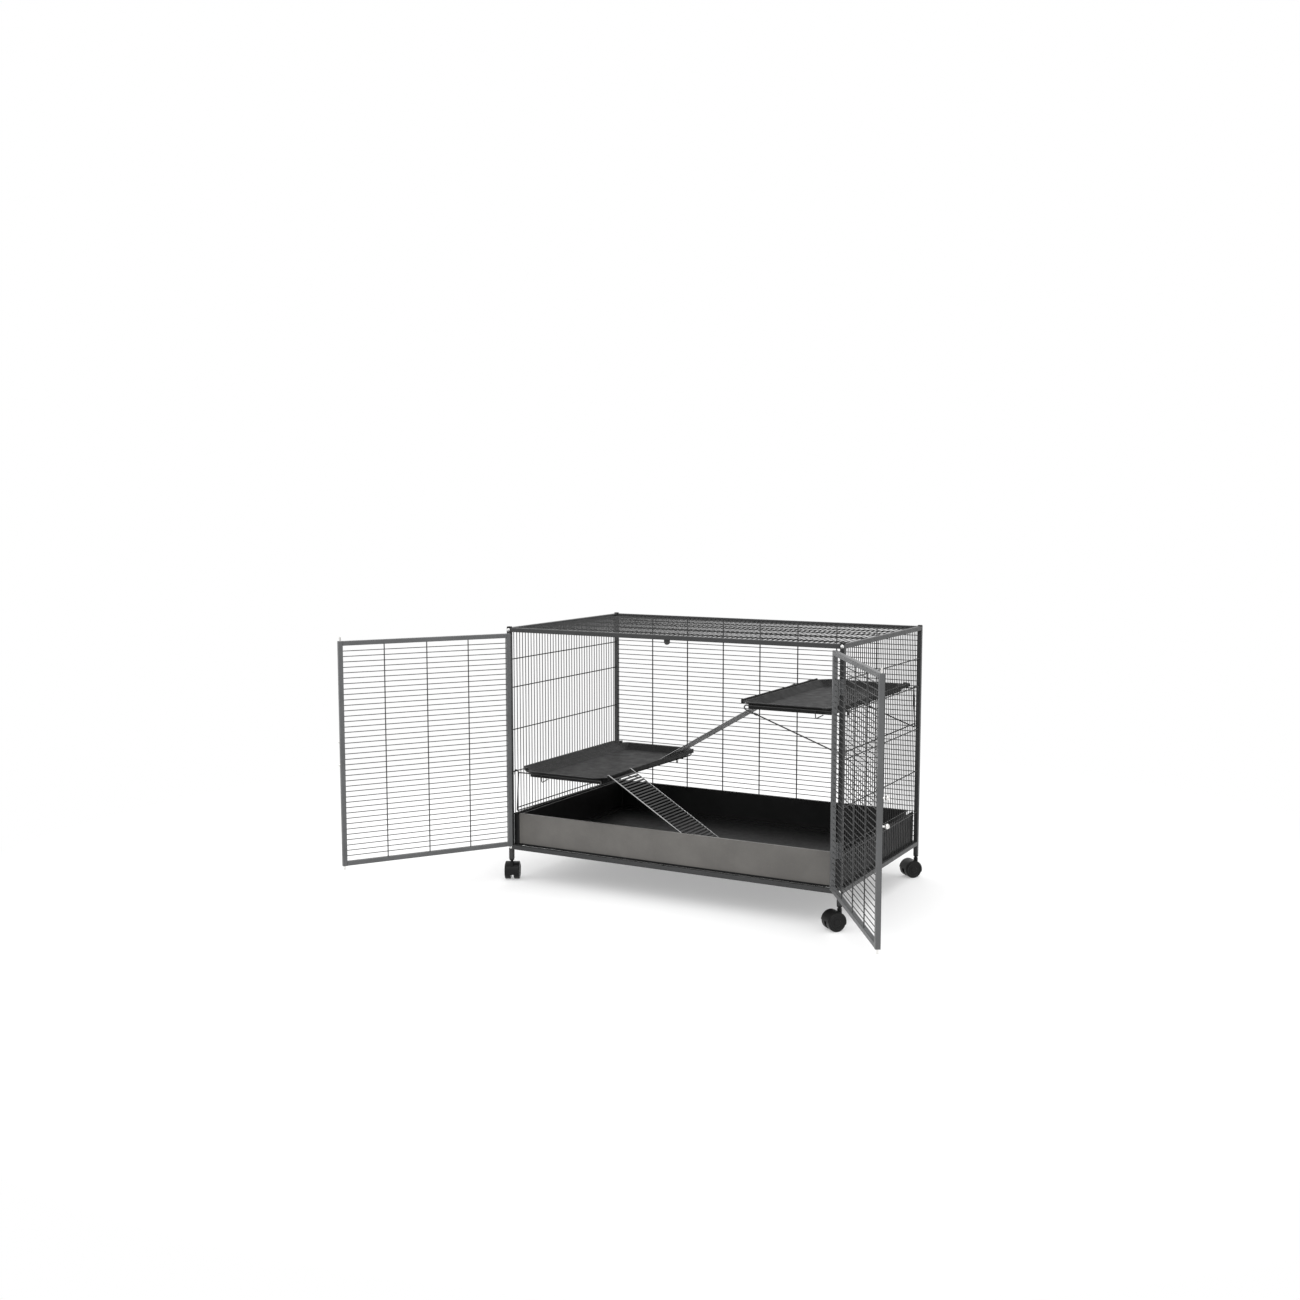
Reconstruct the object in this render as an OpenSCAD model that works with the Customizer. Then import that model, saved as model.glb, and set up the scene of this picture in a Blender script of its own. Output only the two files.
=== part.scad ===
// Ferret cage on casters: a square-tube frame with welded wire grilles, two doors with
// spring bolts, a pull-out tray, two shelves on wire brackets and two ramps.
// Millimetres. +X is to the right, +Y to the back, +Z up. The origin lies on the floor
// under the middle of the frame. The doors stand open, as the cage is shown.

/* [Frame] */
// Width of the frame across its posts
cage_w = 1000; // [940:1:1200]
// Depth of the frame across its posts
cage_d = 604; // [590:1:700]
// Height of the top rails' upper faces above the floor
cage_top_z = 718; // [700:1:900]
// Height of the bottom rails' undersides above the floor
rail_z = 90; // [84:1:92]
// Height of the posts' lower ends above the floor
post_z = 62; // [60:0.5:62]
// Side of the square tube
tube = 12; // [11:0.5:14]
// Wall of the square tube
tube_wall = 1; // [0.8:0.1:1.4]
// Outer corner radius of the square tube
tube_round = 1.5; // [1:0.1:2]
// Thickness of a post cap's plate
cap_t = 3; // [2:0.5:6]
// Setback of a post cap's plate from the faces of its post
cap_inset = 0.2; // [0.1:0.1:0.8]
// Width of the half-round stop tab behind the front top rail
stop_w = 17; // [12:1:30]
// Depth of the stop tab below the rail
stop_drop = 14; // [10:1:18]
// Thickness of the stop tab
stop_t = 2; // [1:0.5:3]

/* [Frame bolts] */
// Diameter of the bolts that hold the side rails
frame_bolt_d = 6; // [4:0.5:6.5]
// Diameter of the bolts' domed heads
bolt_head_d = 10; // [9:0.5:11.5]
// Height of the domed heads
bolt_head_h = 3; // [2:0.5:4]
// Reach of a bolt into its side rail
bolt_reach = 15; // [10:1:25]
// Length of the threaded insert in a side rail's end
insert_len = 18; // [16:1:30]

/* [Wire grilles] */
// Diameter of the close wires
wire_d = 2.2; // [1.8:0.1:2.6]
// Diameter of the cross wires on the sides, the roof and the doors
cross_d = 3; // [2.5:0.1:3.2]
// Diameter of the back grille's uprights
back_cross_d = 3.5; // [2.5:0.1:3.7]
// Nominal pitch of the close wires
wire_pitch = 14.4; // [13:0.1:16]
// Depth to which crossing wires are welded into each other
weld = 0.1; // [0.05:0.01:0.15]
// Nominal pitch of the back grille's uprights
back_cross_pitch = 122; // [90:1:200]
// Nominal pitch of the roof's cross wires
roof_cross_pitch = 116; // [90:1:200]
// Number of bays that a door's uprights divide it into
door_bays = 4; // [2:1:6]
// Distance of the sides' top cross wire below the frame's top
side_top_wire_drop = 90; // [60:1:110]

/* [Doors] */
// Gap between a door and the rails above and below it
door_gap = 2.5; // [2:0.1:4]
// Gap between a closed door and its post
hinge_gap = 2.25; // [2:0.05:3]
// Gap between the two closed doors
meeting_gap = 2.5; // [2:0.1:4]
// Angle at which the left door stands open
left_open = 123; // [100:0.5:150]
// Angle at which the right door stands open
right_open = 123.5; // [100:0.5:150]
// Distance between a door's two hinges
hinge_spacing = 409; // [300:1:450]
// Height of the hinges' middle above the door's middle
hinge_rise = 3; // [0:1:20]
// Height of a hinge
hinge_h = 40; // [30:1:60]
// Diameter of a hinge's barrel
barrel_d = 8; // [7:0.5:9]
// Diameter of a hinge's pin
hinge_pin_d = 3.6; // [3:0.1:4]
// Radial clearance of the hinge pins
hinge_clear = 0.08; // [0.05:0.01:0.1]
// Thickness of a hinge's leaves
leaf_t = 1.5; // [1:0.1:2]
// Width of a hinge's leaf from the pin
leaf_w = 11; // [9:0.5:12]
// Diameter of the rivet heads
rivet_d = 4.5; // [3:0.5:6]

/* [Spring bolts] */
// Diameter of a spring bolt's pin
latch_d = 5; // [4:0.1:5.5]
// Radial clearance of the pins in their guides
latch_clear = 0.1; // [0.05:0.01:0.2]
// Travel of a spring bolt, which is also how far it stands out of the door
latch_throw = 11; // [9:0.5:12]
// Diameter of the ball knobs
knob_d = 11.5; // [9:0.5:14]
// Distance between the two knobs of a door
knob_spacing = 62; // [50:1:90]
// Distance of a knob's middle from the door's face
knob_stand = 10.7; // [9:0.1:14]
// Diameter of a knob's stem
stem_d = 4; // [3:0.1:4.5]
// Diameter of the strike holes in the front rails
strike_d = 7; // [6:0.1:7.5]
// Length of the guides in the ends of the door stiles
guide_len = 4; // [3:0.5:8]

/* [Tray] */
// Gap between the tray and the posts, which the open doors' stiles need
tray_side_gap = 16; // [15:0.5:22]
// Gap between the tray's front and the closed doors
tray_front_gap = 1.5; // [1:0.1:3]
// Gap between the tray and the back frame
tray_back_gap = 4; // [2:0.5:20]
// Gap between the tray and the bottom rails
tray_lift = 2; // [1.9:0.1:4]
// Height of the tray
tray_h = 86.5; // [70:0.5:90]
// Thickness of the tray's walls and floor
tray_t = 2; // [1.5:0.1:3]
// Radius of the tray's upright corners
tray_round = 8; // [4:0.5:20]
// Width of the raised border of the tray's floor
tray_border = 24; // [10:1:26]
// Height of that border above the floor
tray_step = 3; // [1:0.5:6]
// Width of the rim round the tray's top
tray_rim = 2; // [1:0.5:4]
// Height of that rim
tray_rim_h = 3; // [2:0.5:6]
// Thickness of the sheet front panel
panel_t = 1.5; // [1:0.1:2]
// Height of the panel's lower edge above the tray's underside
panel_rise = 3; // [1:0.5:6]
// Reach of the lip under the panel over the front rail
lip_reach = 2; // [1:0.5:2]
// Depth of the fold along the panel's top edge
panel_fold = 7; // [3:0.5:12]
// Gap between the tray and its guides
slide_clear = 0.4; // [0.2:0.1:0.8]

/* [Tray guides] */
// Thickness of the guides' sheet
guide_t = 1.5; // [1:0.1:1.6]
// Gap between a guide and the posts' inner faces
guide_gap = 0.5; // [0.3:0.1:1]
// Reach of a guide's front flange behind its post
flange_past = 1.5; // [1:0.1:1.8]
// Reach of a guide's ledge under the tray
ledge_reach = 17; // [10:1:40]
// Rest of a guide's ledge on its side rail
ledge_rest = 4; // [3:0.5:4.5]

/* [Shelves] */
// Height of the side wire that carries the left shelf
left_shelf_z = 308; // [300:1:320]
// Height of the side wire that carries the right shelf
right_shelf_z = 548; // [530:1:560]
// Rise of a shelf's outer rim above its side wire
rim_rise = 12; // [11.5:0.5:14]
// Width of a shelf
shelf_w = 285; // [240:1:290]
// Gap between a shelf and the front and back frames
shelf_end_gap = 5; // [4:0.5:8]
// Gap between a shelf and the posts' inner faces
shelf_side_gap = 4; // [4:0.5:8]
// Size of a shelf's chamfered corners at the cage's side
shelf_corner = 36; // [25:1:45]
// Size of a shelf's chamfered corners at the bead
bead_corner = 31; // [25:1:45]
// Thickness of a shelf's floor
shelf_t = 3; // [2:0.1:3.5]
// Width of the flat rim
rim_w = 5; // [4:0.5:8]
// Width of the rim with the sloping border inside it, along the cage's side
border_w = 49; // [48:1:60]
// Width of the rim with its border along the inner edge
in_border_w = 36; // [34:1:38]
// Width of the sloping border past the sunk middle's front and back walls
end_border_w = 15; // [14:1:18]
// Height of the flange's edge below the outer rim
edge_t = 8; // [7.5:0.5:10]
// Width of the bevel under that edge
taper_w = 13; // [8:0.5:14]
// Depth of the rim's underside below the outer rim
rim_depth = 13.5; // [13:0.5:14]
// Step from the outer rim down to the front and back rims
rim_step = 6; // [3:0.5:7]
// Depth of the floor below the outer rim
floor_drop = 22; // [14:0.5:22]
// Distance of the sunk middle from the shelf's outer edge
body_out = 28; // [24:1:28]
// Distance of the sunk middle from the shelf's inner edge
body_in = 21; // [16:1:21]
// Gap between the sunk middle and the brackets
body_gap = 2.5; // [1:0.5:4]
// Radius of the bead that the ramps hook over
bead_r = 2.7; // [2.6:0.1:3.2]
// Depth of the bead's middle and of the groove behind it, below the outer rim
bead_drop = 5; // [4.5:0.1:6]
// Depth of the lip under the bead, below the rim's underside
lip_drop = 1; // [0.5:0.5:5]

/* [Brackets] */
// Diameter of the bracket wire
bracket_d = 3.5; // [3:0.1:4]
// Distance between the side wires that a bracket hooks on and leans against
bracket_h = 120; // [100:1:122]
// Radius of the bends at a bracket's outer corners
bracket_bend = 2.6; // [2.2:0.1:3]
// Radius of the curl at a bracket's inner end
curl_r = 6; // [4:0.1:7]
// Distance past the shelf's inner edge at which the lines of arm and brace meet
curl_past = 12; // [8:0.5:14]
// Reach of a bracket's hook down behind its side wire
hook_drop = 10; // [4:0.5:14]
// Diameter of the wire of the small hanging loops
loop_d = 2.6; // [2:0.1:3]
// Depth of the hanging loops
loop_drop = 22; // [15:0.5:24]
// Distance of an arm's loop from the shelf's outer edge
loop_x = 73; // [50:1:140]
// Distance of the crimped sleeve from the point where arm and brace meet
sleeve_at = 60; // [50:1:100]
// Length of the crimped sleeve
sleeve_len = 8; // [5:0.5:12]
// Height of a bracket's foot above its lower side wire
foot_rise = 6; // [5:0.5:10]
// Height of the bar between two brackets above their feet
bar_rise = 10; // [8:0.5:30]

/* [Ramps] */
// Width of a ramp between its side wires
ramp_w = 121; // [100:1:126]
// Diameter of a ramp's side wires
ramp_wire_d = 3; // [2.5:0.1:3.5]
// Distance of the lower ramp's front wire from the bead's front end
lower_ramp_in = 2; // [2:0.5:20]
// Distance of the upper ramp's middle from the back frame
upper_ramp_in = 140; // [130:1:150]
// X position of the lower ramp's foot
lower_foot_x = 150; // [120:1:200]
// Distance of the upper ramp's foot from the left shelf's inner edge
upper_foot_in = 41; // [38:1:80]
// Pitch of the slats
slat_pitch = 10.4; // [9:0.1:20]
// Width of a slat
slat_w = 5; // [4:0.5:8]
// Thickness of a slat
slat_t = 2.4; // [1.5:0.1:2.4]
// Angle of a ramp's hook past the top of the bead
hook_past = 30; // [20:1:40]
// Clearance between the hooks and the bead
hook_clear = 0.1; // [0.05:0.01:0.2]
// Clearance under a ramp's foot
foot_clear = 0.3; // [0.2:0.1:0.5]

/* [Casters] */
// Diameter of the wheels
wheel_d = 48; // [46:0.5:50]
// Width of one wheel
wheel_w = 16; // [12:0.5:18]
// Thickness of the web between a caster's wheels
web_t = 7.5; // [6:0.5:10]
// Gap between a wheel and the web
wheel_gap = 1; // [0.8:0.1:1.5]
// Distance between the swivel axis and the axle
trail = 16; // [14:0.5:18]
// Diameter of the axles
axle_d = 6; // [5:0.5:8]
// Radial clearance of the axles and the stems
turn_clear = 0.08; // [0.05:0.01:0.1]
// Thickness of the hood's arched cover
cover_t = 1.2; // [1:0.1:2]
// Gap between the wheels and the arched cover
cover_gap = 0.8; // [0.6:0.1:1.2]
// Diameter of the stems
caster_stem_d = 8; // [7:0.1:8.5]
// Reach of a stem into its post
stem_reach = 22; // [18:1:22]
// Diameter of the boss under a stem
boss_d = 12; // [11:0.5:14]
// Distance between a caster's boss and its post
boss_gap = 8; // [6:0.5:9]
// Diameter of the collar on a stem, under its post
collar_d = 13.5; // [10:0.5:15]
// Height of that collar
collar_h = 3.6; // [2:0.1:4]
// Direction in which the front left caster trails
front_left_trail = 117; // [0:1:359]
// Direction in which the front right caster trails
front_right_trail = 229; // [0:1:359]
// Direction in which the back left caster trails
back_left_trail = 140; // [0:1:359]
// Direction in which the back right caster trails
back_right_trail = 227; // [0:1:359]

/* [Hidden] */
$fn = 32;
past = 1; // how far a cutting shape runs past the face that it cuts

// Frame
half_w = cage_w / 2;
half_d = cage_d / 2;
post_x = half_w - tube / 2;
post_y = half_d - tube / 2;
inner_x = half_w - tube;
inner_y = half_d - tube;
top_rail_z = cage_top_z - tube / 2;
bottom_rail_z = rail_z + tube / 2;
floor_rail_z = rail_z + tube;
head_rail_z = cage_top_z - tube;
bore = tube - 2 * tube_wall;
bolt_hole_r = frame_bolt_d / 2 + 0.1;
cap_peg = tube / 2 - frame_bolt_d / 2 - 0.5;
stem_insert = stem_reach + 2;

// Grilles
side_plane_x = post_x;
side_cross_x = side_plane_x + wire_d / 2 + cross_d / 2 - weld;
side_cross_z = [
    left_shelf_z - bracket_h, left_shelf_z, right_shelf_z - bracket_h, right_shelf_z,
    cage_top_z - side_top_wire_drop
];
back_cross_y = post_y + wire_d / 2 + back_cross_d / 2 - weld;
roof_cross_z = top_rail_z - wire_d / 2 - cross_d / 2 + weld;

// Doors, drawn closed with the hinge axis at x = 0, y = 0 and the door towards +x
barrel_r = barrel_d / 2;
hinge_out = barrel_r + 1;
pivot_x = inner_x;
pivot_y = -half_d - hinge_out;
door_w = inner_x - hinge_gap - meeting_gap / 2;
door_low_z = floor_rail_z + door_gap;
door_high_z = head_rail_z - door_gap;
door_mid_z = (door_low_z + door_high_z) / 2;
door_y = hinge_out + tube / 2;
hinge_stile_x = hinge_gap + tube / 2;
free_stile_x = hinge_gap + door_w - tube / 2;
bay_x0 = hinge_stile_x + tube / 2;
bay_x1 = free_stile_x - tube / 2;
door_cross_y = door_y + wire_d / 2 + cross_d / 2 - weld;
hinge_zs = [for (k = [-1, 1]) door_mid_z + hinge_rise + k * hinge_spacing / 2];
knuckle = hinge_h / 3;
knuckle_gap = 0.3;
latch_r = latch_d / 2;
latch_len = door_high_z + latch_throw - door_mid_z - knob_spacing / 2;
slot_play = 0.3;

// Tray
tray_x = inner_x - tray_side_gap;
tray_low_z = floor_rail_z + tray_lift;
tray_high_z = tray_low_z + tray_h;
panel_y = -inner_y + tray_front_gap;
tray_front_y = panel_y + panel_t;
tray_back_y = inner_y - tray_back_gap;
tray_floor_z = tray_low_z + tray_t;
guide_x = inner_x - guide_gap;
ledge_top_z = tray_low_z - slide_clear;

// Shelves
shelf_x0 = -inner_x + shelf_side_gap;
shelf_x1 = shelf_x0 + shelf_w;
shelf_y = inner_y - shelf_end_gap;
bead_x = shelf_x1 - bead_r + 0.2;
bead_y = shelf_y - bead_corner;
groove_w = 12;
corner_r = 12; // radius of the sunk middle's corners
left_rim_z = left_shelf_z + rim_rise;
right_rim_z = right_shelf_z + rim_rise;

// Brackets
side_gap_pitch = 2 * inner_y / gaps(2 * inner_y, wire_pitch);
bracket_y = inner_y - 1.5 * side_gap_pitch;
body_y = bracket_y - bracket_d / 2 - body_gap;
arm_rest = 0.01; // depth to which a shelf sits on its brackets' wire
arm_rise = rim_rise - rim_depth + arm_rest - bracket_d / 2;
hook_x = -side_cross_x - cross_d / 2 - bracket_d / 2;
leg_x = -side_cross_x + cross_d / 2 + bracket_d / 2;
sleeve_d = bracket_d + 2.4;
bar_d = bracket_d - 0.3; // a little thinner than the legs that it is welded to
bar_x = -side_plane_x + wire_d / 2 + bar_d / 2 + 0.3;

// Ramps
lower_ramp_y = -bead_y + lower_ramp_in + ramp_w / 2;
upper_ramp_y = inner_y - upper_ramp_in;
hook_r = bead_r + hook_clear + ramp_wire_d / 2;
lower_foot = [lower_foot_x, tray_floor_z + foot_clear + ramp_wire_d / 2];
upper_foot = [shelf_x1 - upper_foot_in, left_rim_z - floor_drop + foot_clear + ramp_wire_d / 2];
left_bead = [bead_x, left_rim_z - bead_drop];
right_bead = [bead_x, right_rim_z - bead_drop];

// Casters
wheel_r = wheel_d / 2;
wheel_in = web_t / 2 + wheel_gap;
wheel_out = wheel_in + wheel_w;
cover_r = wheel_r + cover_gap;
boss_top_z = post_z - boss_gap;
tread_edge = 1.5;

// Number of equal gaps nearest to the pitch that fill a span
function gaps(span, pitch) = round(span / pitch);
// Places of the wires that divide the stretch from a to b into those gaps
function places(a, b, pitch) = let (n = gaps(b - a, pitch)) [for (i = [1 : n - 1]) a + (b - a) * i / n];
// Four points round one corner, from angle a0
function round_corner(x, y, r, a0) =
    [for (i = [0 : 3]) [x + r * cos(a0 + 30 * i), y + r * sin(a0 + 30 * i)]];
// Outline of a square of side s with rounded corners
function rounded(s, r) = rounded_box(s / 2, s / 2, r);
// Outline of a rectangle of half sizes a and b with rounded corners
function rounded_box(a, b, r) = concat(
    round_corner(a - r, b - r, r, 0), round_corner(r - a, b - r, r, 90),
    round_corner(r - a, r - b, r, 180), round_corner(a - r, r - b, r, 270)
);
// Outline of a shelf, set in by e, with its corners chamfered
function shelf_outline(e) =
    let (x0 = shelf_x0 + e, x1 = shelf_x1 - e, y = shelf_y - e, less = e * (2 - sqrt(2)))
    let (c = shelf_corner - less, d = bead_corner - less)
    [
        [x0 + c, -y], [x1 - d, -y], [x1, d - y], [x1, y - d],
        [x1 - d, y], [x0 + c, y], [x0, y - c], [x0, c - y]
    ];
// Direction of the leg from point i to the next, in degrees
function heading(p, i) = atan2(p[i + 1][1] - p[i][1], p[i + 1][0] - p[i][0]);
// Turn at point i, between -180 and 180 degrees
function turn(p, i) =
    let (t = heading(p, i) - heading(p, i - 1)) t > 180 ? t - 360 : t < -180 ? t + 360 : t;
// Length that the bend at point i takes off its two legs
function trim(p, i) = p[i][2] * tan(abs(turn(p, i)) / 2);

// Square tube of a length along Z, standing on z = 0
module tube_stock(length) {
    linear_extrude(length) difference() {
        polygon(rounded(tube, tube_round));
        square(bore, center = true);
    }
}

module tube_x(x0, x1, y, z) {
    translate([x0, y, z]) rotate([90, 0, 90]) tube_stock(x1 - x0);
}

module tube_y(y0, y1, x, z) {
    translate([x, y1, z]) rotate([90, 0, 0]) tube_stock(y1 - y0);
}

module rod_x(x0, x1, y, z, d) {
    translate([x0, y, z]) rotate([0, 90, 0]) cylinder(h = x1 - x0, d = d);
}

module rod_y(y0, y1, x, z, d) {
    translate([x, y0, z]) rotate([-90, 0, 0]) cylinder(h = y1 - y0, d = d);
}

module rod_z(z0, z1, x, y, d) {
    translate([x, y, z0]) cylinder(h = z1 - z0, d = d);
}

// Round wire bent in the XY plane along the points p = [x, y, radius of the bend there]
module bent_wire(p, d) {
    last = len(p) - 1;
    lap = 0.05; // how far a straight piece runs into its bends
    swell = 0.02; // how much thicker a bend is than the straight pieces
    for (i = [0 : last - 1]) {
        start = i > 0 ? trim(p, i) - lap : 0;
        stop = i < last - 1 ? trim(p, i + 1) - lap : 0;
        length = norm([p[i + 1][0] - p[i][0], p[i + 1][1] - p[i][1]]);
        translate([p[i][0], p[i][1], 0]) rotate(heading(p, i)) translate([start, 0, 0])
            rotate([0, 90, 0]) cylinder(h = length - start - stop, d = d);
    }
    for (i = [1 : last - 1]) {
        t = turn(p, i);
        translate([p[i][0], p[i][1], 0]) rotate(heading(p, i - 1))
            translate([-trim(p, i), sign(t) * p[i][2], 0]) rotate(t > 0 ? -90 : 90 + t)
            rotate_extrude(angle = abs(t)) translate([p[i][2], 0]) circle(d = d + swell);
    }
}

// Draws a part of the XY plane upright, in the XZ plane at y
module upright(y) {
    translate([0, y, 0]) rotate([90, 0, 0]) children();
}

// FRAME

// Post at the corner towards sx, sy, open below for the caster's stem
module post(sx, sy) {
    translate([sx * post_x, sy * post_y, 0]) difference() {
        union() {
            translate([0, 0, post_z]) tube_stock(cage_top_z - post_z);
            translate([-bore / 2 - tube_wall / 2, -bore / 2 - tube_wall / 2, post_z])
                cube([bore + tube_wall, bore + tube_wall, stem_insert]);
        }
        translate([0, 0, post_z - past])
            cylinder(h = stem_insert + 2 * past, r = caster_stem_d / 2 + turn_clear);
        for (z = [bottom_rail_z, top_rail_z])
            translate([0, -tube / 2 - past, z]) rotate([-90, 0, 0])
                cylinder(h = tube + 2 * past, r = bolt_hole_r);
    }
}

module post_front_left() { color("dimgray") post(-1, -1); }
module post_front_right() { color("dimgray") post(1, -1); }
module post_back_left() { color("dimgray") post(-1, 1); }
module post_back_right() { color("dimgray") post(1, 1); }

// Front rail with the two strike holes on the side towards the doors
module front_rail(z, door_face_z) {
    difference() {
        tube_x(-inner_x, inner_x, -post_y, z);
        for (s = [-1, 1])
            translate([s * (inner_x - free_stile_x), -post_y, door_face_z - tube_wall - past / 2])
                cylinder(h = 2 * tube_wall + past, d = strike_d);
    }
}

module front_top_rail() { color("dimgray") front_rail(top_rail_z, head_rail_z); }
module front_bottom_rail() { color("dimgray") front_rail(bottom_rail_z, floor_rail_z); }
module back_top_rail() { color("dimgray") tube_x(-inner_x, inner_x, post_y, top_rail_z); }
module back_bottom_rail() { color("dimgray") tube_x(-inner_x, inner_x, post_y, bottom_rail_z); }

// Side rail with a drilled insert in each end for its bolt
module side_rail(x, z) {
    color("dimgray") difference() {
        union() {
            tube_y(-inner_y, inner_y, x, z);
            for (s = [-1, 1]) translate([x, s * (inner_y - insert_len / 2), z])
                cube([bore + tube_wall, insert_len, bore + tube_wall], center = true);
        }
        for (s = [-1, 1]) translate([x, s * (inner_y - insert_len / 2), z]) rotate([90, 0, 0])
            cylinder(h = insert_len + 2 * past, r = bolt_hole_r, center = true);
    }
}

module left_top_rail() { side_rail(-post_x, top_rail_z); }
module left_bottom_rail() { side_rail(-post_x, bottom_rail_z); }
module right_top_rail() { side_rail(post_x, top_rail_z); }
module right_bottom_rail() { side_rail(post_x, bottom_rail_z); }

// Post caps: a plate with a raised middle on each post, with a short peg in the tube
module post_caps() {
    peg = bore - 0.2;
    color("black") for (sx = [-1, 1], sy = [-1, 1]) translate([sx * post_x, sy * post_y, cage_top_z]) {
        linear_extrude(cap_t * 2 / 3) polygon(rounded(tube - 2 * cap_inset, tube_round));
        linear_extrude(cap_t) polygon(rounded(tube - 2, tube_round));
        translate([-peg / 2, -peg / 2, -cap_peg]) cube([peg, peg, cap_peg + cap_t / 2]);
    }
}

// One domed bolt along +Y, its head's underside at y = 0
module frame_bolt() {
    dome_r = (bolt_head_d * bolt_head_d / 4 + bolt_head_h * bolt_head_h) / (2 * bolt_head_h);
    rotate([-90, 0, 0]) {
        cylinder(h = tube + bolt_reach, d = frame_bolt_d);
        intersection() {
            translate([0, 0, dome_r - bolt_head_h]) sphere(dome_r);
            translate([0, 0, -bolt_head_h / 2])
                cube([2 * bolt_head_d, 2 * bolt_head_d, bolt_head_h], center = true);
        }
    }
}

module frame_bolts() {
    color("silver") for (sx = [-1, 1], z = [bottom_rail_z, top_rail_z]) {
        translate([sx * post_x, -half_d, z]) frame_bolt();
        translate([sx * post_x, half_d, z]) mirror([0, 1, 0]) frame_bolt();
    }
}

// Half-round tab on the front top rail's rear face, which both doors close against
module door_stop() {
    r = stop_w / 2;
    stop_top_z = top_rail_z - wire_d / 2 - 0.5;
    color("dimgray") translate([0, -inner_y + stop_t, 0]) rotate([90, 0, 0]) linear_extrude(stop_t) {
        translate([0, head_rail_z - stop_drop + r]) circle(r);
        translate([-r, head_rail_z - stop_drop + r])
            square([stop_w, stop_top_z - head_rail_z + stop_drop - r]);
    }
}

// HINGES, with the axis at x = 0, y = 0 and the door closed towards +x

// One knuckle round the axis with the strip that joins it to its leaf at the side s
module knuckle_at(z, h, s, hole_r) {
    difference() {
        union() {
            translate([0, 0, z]) cylinder(h = h, r = barrel_r);
            translate([s > 0 ? 0 : -leaf_w / 2, hinge_out - leaf_t, z]) cube([leaf_w / 2, leaf_t, h]);
        }
        if (hole_r > 0) translate([0, 0, z - past]) cylinder(h = h + 2 * past, r = hole_r);
    }
}

// Leaf on the face at y = hinge_out, from the axis to the side s, clear of the other leaf's knuckles
module leaf_plate(s) {
    clear_x = barrel_r / 2 + 0.6;
    translate([s > 0 ? clear_x : -leaf_w, hinge_out - leaf_t, -hinge_h / 2])
        cube([leaf_w - clear_x, leaf_t, hinge_h]);
    for (k = [-1, 1]) translate([s * (leaf_w + clear_x) / 2, hinge_out - leaf_t, k * hinge_h / 4])
        rotate([90, 0, 0]) cylinder(h = 0.8, d1 = rivet_d, d2 = rivet_d / 2);
}

// Post's leaf with the two outer knuckles and the pin
module post_leaf() {
    leaf_plate(-1);
    for (z = [-hinge_h / 2, hinge_h / 2 - knuckle + knuckle_gap])
        knuckle_at(z, knuckle - knuckle_gap, -1, 0);
    translate([0, 0, -hinge_h / 2]) cylinder(h = hinge_h, d = hinge_pin_d);
}

// Door's leaf with the middle knuckle
module door_leaf() {
    leaf_plate(1);
    knuckle_at(-knuckle / 2, knuckle, 1, hinge_pin_d / 2 + hinge_clear);
}

module frame_hinge_leaves() {
    color("darkgray") for (z = hinge_zs) {
        translate([-pivot_x, pivot_y, z]) post_leaf();
        mirror([1, 0, 0]) translate([-pivot_x, pivot_y, z]) post_leaf();
    }
}

// GRILLES

module side_wires(s) {
    color("dimgray") for (y = places(-inner_y, inner_y, wire_pitch))
        rod_z(floor_rail_z, head_rail_z, s * side_plane_x, y, wire_d);
}

module side_cross_wires(s) {
    color("dimgray") for (z = side_cross_z) rod_y(-inner_y, inner_y, s * side_cross_x, z, cross_d);
}

module left_grille_wires() { side_wires(-1); }
module left_grille_cross_wires() { side_cross_wires(-1); }
module right_grille_wires() { side_wires(1); }
module right_grille_cross_wires() { side_cross_wires(1); }

module back_grille_wires() {
    color("dimgray") for (z = places(floor_rail_z, head_rail_z, wire_pitch))
        rod_x(-inner_x, inner_x, post_y, z, wire_d);
}

module back_grille_cross_wires() {
    color("dimgray") for (x = places(-inner_x, inner_x, back_cross_pitch))
        rod_z(floor_rail_z, head_rail_z, x, back_cross_y, back_cross_d);
}

module roof_grille_wires() {
    color("dimgray") for (x = places(-inner_x, inner_x, wire_pitch))
        rod_y(-inner_y, inner_y, x, top_rail_z, wire_d);
}

module roof_grille_cross_wires() {
    color("dimgray") for (y = places(-inner_y, inner_y, roof_cross_pitch))
        rod_x(-inner_x, inner_x, y, roof_cross_z, cross_d);
}

// TRAY

// Fixed guide on the side s: upright sheet, ledge under the tray and closing flange at the front
module tray_guide(s) {
    wall_top_z = tray_high_z - 0.5;
    length = tray_back_y - panel_y;
    color("black") mirror([s > 0 ? 1 : 0, 0, 0]) {
        translate([-guide_x, panel_y, floor_rail_z]) cube([guide_t, length, wall_top_z - floor_rail_z]);
        translate([-inner_x - ledge_rest, panel_y, floor_rail_z])
            cube([ledge_rest + tray_side_gap + ledge_reach, length, ledge_top_z - floor_rail_z]);
        translate([-inner_x - flange_past, panel_y, floor_rail_z])
            cube([tray_side_gap + flange_past - panel_t, guide_t, wall_top_z - floor_rail_z]);
    }
}

module left_tray_guide() { tray_guide(-1); }
module right_tray_guide() { tray_guide(1); }

// Block of the tray's plan, set in by e, between two heights
module tray_block(e, z0, z1) {
    depth = tray_back_y - tray_front_y;
    translate([0, tray_front_y + depth / 2, z0]) linear_extrude(z1 - z0)
        polygon(rounded_box(tray_x - e, depth / 2 - e, max(tray_round - e, 1)));
}

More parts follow.
